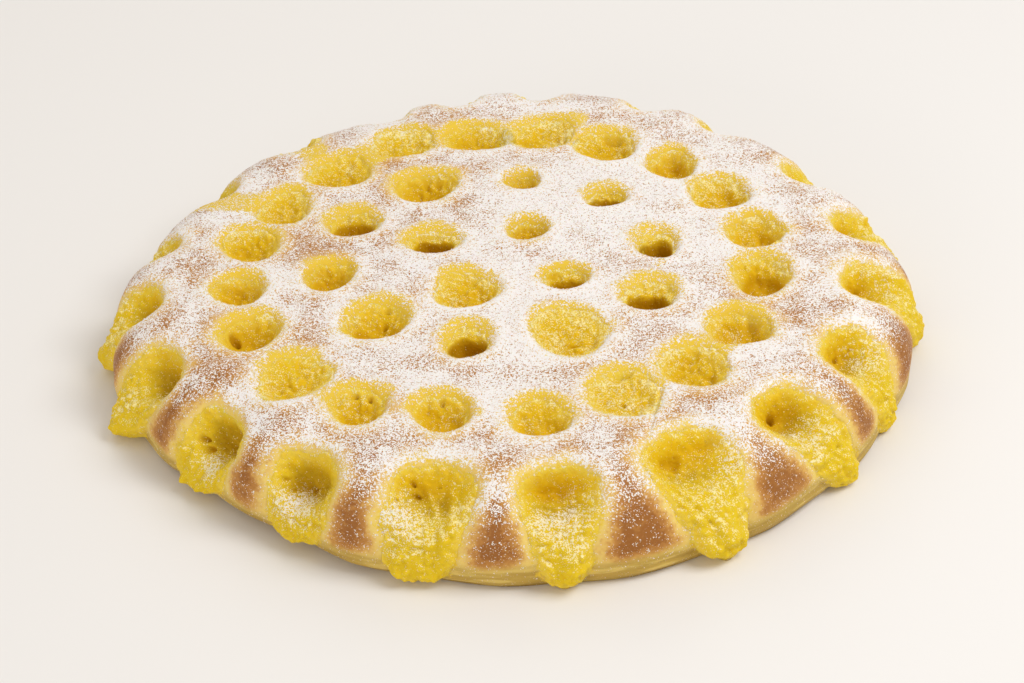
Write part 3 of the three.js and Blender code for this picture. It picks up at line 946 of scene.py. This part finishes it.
def sugar_tree():
    """The tree that scatters the grains, and the identifiers of its inputs by their names."""
    tree = bpy.data.node_groups.new("sieved_sugar", "GeometryNodeTree")
    inputs = {}
    for name, kind in (
            ("Surface", "Geometry"), ("Grains per square metre", "Float"),
            ("Least distance from custard", "Float"), ("Grain radius", "Float"),
            ("Seed", "Int"), ("Material", "Material")):
        inputs[name] = tree.interface.new_socket(
            name=name, in_out="INPUT", socket_type=f"NodeSocket{kind}").identifier
    tree.interface.new_socket(name="Grains", in_out="OUTPUT", socket_type="NodeSocketGeometry")
    build = Link(tree)

    def given(name):
        return build.node("NodeGroupInput", output=name)

    def named(name):
        return build.node("GeometryNodeInputNamedAttribute", {"data_type": "FLOAT"}, {"Name": name})

    normal = build.node("GeometryNodeInputNormal")
    upward = build.node("ShaderNodeSeparateXYZ", None, {0: normal}, output=2)
    seen = upward.math("GREATER_THAN", upward, LEAST_UPWARD) * named("gap").math(
        "GREATER_THAN", named("gap"), given("Least distance from custard"))
    thick = named("sugar") * named("sugar") * seen
    points = build.node(
        "GeometryNodeDistributePointsOnFaces", {"distribute_method": "RANDOM"},
        {"Mesh": given("Surface"), "Density": thick * given("Grains per square metre"),
         "Seed": given("Seed")})

    # Each grain is a tiny ball of few faces, squashed, scaled and turned at random.
    grain = build.node("GeometryNodeMeshUVSphere", None, {
        "Segments": 4, "Rings": 2, "Radius": given("Grain radius")})
    size = build.node(
        "FunctionNodeRandomValue", {"data_type": "FLOAT_VECTOR"},
        {"Min": LEAST_GRAIN, "Max": LARGEST_GRAIN, "Seed": given("Seed")})
    turn = build.node(
        "FunctionNodeRandomValue", {"data_type": "FLOAT_VECTOR"},
        {"Min": (0, 0, 0), "Max": (FULL_TURN, FULL_TURN, FULL_TURN), "Seed": given("Seed")})
    grains = build.node("GeometryNodeInstanceOnPoints", None, {
        "Points": points, "Instance": grain, "Scale": size, "Rotation": turn})
    grains = build.node("GeometryNodeRealizeInstances", None, {"Geometry": grains})
    grains = build.node("GeometryNodeSetMaterial", None, {
        "Geometry": grains, "Material": given("Material")})
    end = tree.nodes.new("NodeGroupOutput")
    tree.links.new(grains.socket, end.inputs[0])
    return tree, inputs


def sprinkle(name, surface, **settings):
    """A piece made of the grains that lie on a surface, which is used up."""
    modifier = surface.modifiers.new("sugar", "NODES")
    modifier.node_group = sieve
    for key, value in settings.items():
        modifier[sieve_inputs[key.replace("_", " ")]] = value
    surface_now = surface.evaluated_get(bpy.context.evaluated_depsgraph_get())
    mesh = bpy.data.meshes.new_from_object(surface_now)
    surface.modifiers.clear()
    bpy.data.objects.remove(surface)
    grains = new_object(name, mesh)
    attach(grains, "root")


sieve, sieve_inputs = sugar_tree()
dry_sugar = new_material("dry_sugar", Base_Color=(*SUGAR_WHITE, 1), Roughness=0.8)[0]
damp_sugar = new_material("damp_sugar", Base_Color=(*CUSTARD_FLECK, 1), Roughness=0.5)[0]
sprinkle(
    "sugar_on_crust", new_object("dough_surface", dough.data),
    Grains_per_square_metre=700000, Least_distance_from_custard=0.5, Grain_radius=0.00028,
    Seed=3, Material=dry_sugar)
every_shell = [shell for shells in (*top_shells.values(), rim_shells) for shell in shells]
surface_points, surface_faces, surface_values = joined(every_shell)
sprinkle(
    "sugar_on_custard",
    mesh_object("custard_surface", surface_points, surface_faces, **surface_values),
    Grains_per_square_metre=500000, Least_distance_from_custard=-FAR_AWAY, Grain_radius=0.00026,
    Seed=10, Material=damp_sugar)


# The floor: a plain pale studio table, matt and a little warm. It is one flat square, so wide that
# its edges are never in the picture.

TABLE_WHITE = (0.80, 0.775, 0.752)
TABLE_REACH = 6.0


def floor_piece():
    corners = [
        (-TABLE_REACH, -TABLE_REACH, 0), (TABLE_REACH, -TABLE_REACH, 0),
        (TABLE_REACH, TABLE_REACH, 0), (-TABLE_REACH, TABLE_REACH, 0)]
    mesh = bpy.data.meshes.new("floor")
    mesh.from_pydata(corners, [], [(0, 1, 2, 3)])
    mesh.materials.append(new_material("table", Base_Color=(*TABLE_WHITE, 1), Roughness=0.6)[0])
    new_object("floor", mesh)


floor_piece()


# The studio: a soft key panel from the right, a wide low one from the front left and one from
# behind, in a pale warm room that fills the shadows.

ROOM_COLOUR = (1.0, 0.955, 0.895)
ROOM_STRENGTH = 0.62


def panel(name, place, aim, size, power, colour):
    """A soft rectangular light at a place, turned to face the aim."""
    light = bpy.data.lights.new(name, "AREA")
    light.shape = "RECTANGLE"
    light.size, light.size_y = size
    light.energy = power
    light.color = colour
    turn = (Vector(aim) - Vector(place)).to_track_quat("-Z", "Y")
    new_object(name, light).matrix_world = (
        Matrix.Translation(place) @ turn.to_matrix().to_4x4())


panel(
    "key_panel", place=(1.1, -0.3, 1.5), aim=(0, 0, 0), size=(1.0, 1.0), power=21.5,
    colour=(0.94, 0.97, 1.0))
panel(
    "front_panel", place=(-1.2, -1.9, 0.55), aim=(0, 0, 0.02), size=(1.8, 0.8), power=13,
    colour=(1.0, 0.98, 0.95))
panel(
    "back_panel", place=(-0.4, 2.2, 1.4), aim=(0, 0, 0), size=(1.6, 1.2), power=7,
    colour=(1.0, 0.96, 0.90))
world = bpy.data.worlds.new("room")
world.use_nodes = True
background = world.node_tree.nodes["Background"]
background.inputs["Color"].default_value = (*ROOM_COLOUR, 1)
background.inputs["Strength"].default_value = ROOM_STRENGTH
bpy.context.scene.world = world
bpy.context.scene.view_settings.view_transform = "Standard"


# The camera: a long lens that looks down at the loaf from the front, tilted a little. Its axes
# are given as directions, and squared up before use.

CAMERA_PLACE = (0.00147, -1.04785, 0.6908)
CAMERA_RIGHT = (0.998978, -0.024774, -0.037809)
CAMERA_UP = (0.045203, 0.547500, 0.835575)
LENS_LENGTH = 105.7
SENSOR_WIDTH = 36

lens = bpy.data.cameras.new("camera")
lens.lens = LENS_LENGTH
lens.sensor_fit = "HORIZONTAL"
lens.sensor_width = SENSOR_WIDTH
camera = new_object("camera", lens)
right = Vector(CAMERA_RIGHT).normalized()
backward = right.cross(Vector(CAMERA_UP)).normalized()
up = backward.cross(right)
turn_to_view = Matrix((right, up, backward)).transposed().to_4x4()
camera.matrix_world = Matrix.Translation(CAMERA_PLACE) @ turn_to_view
bpy.context.scene.camera = camera
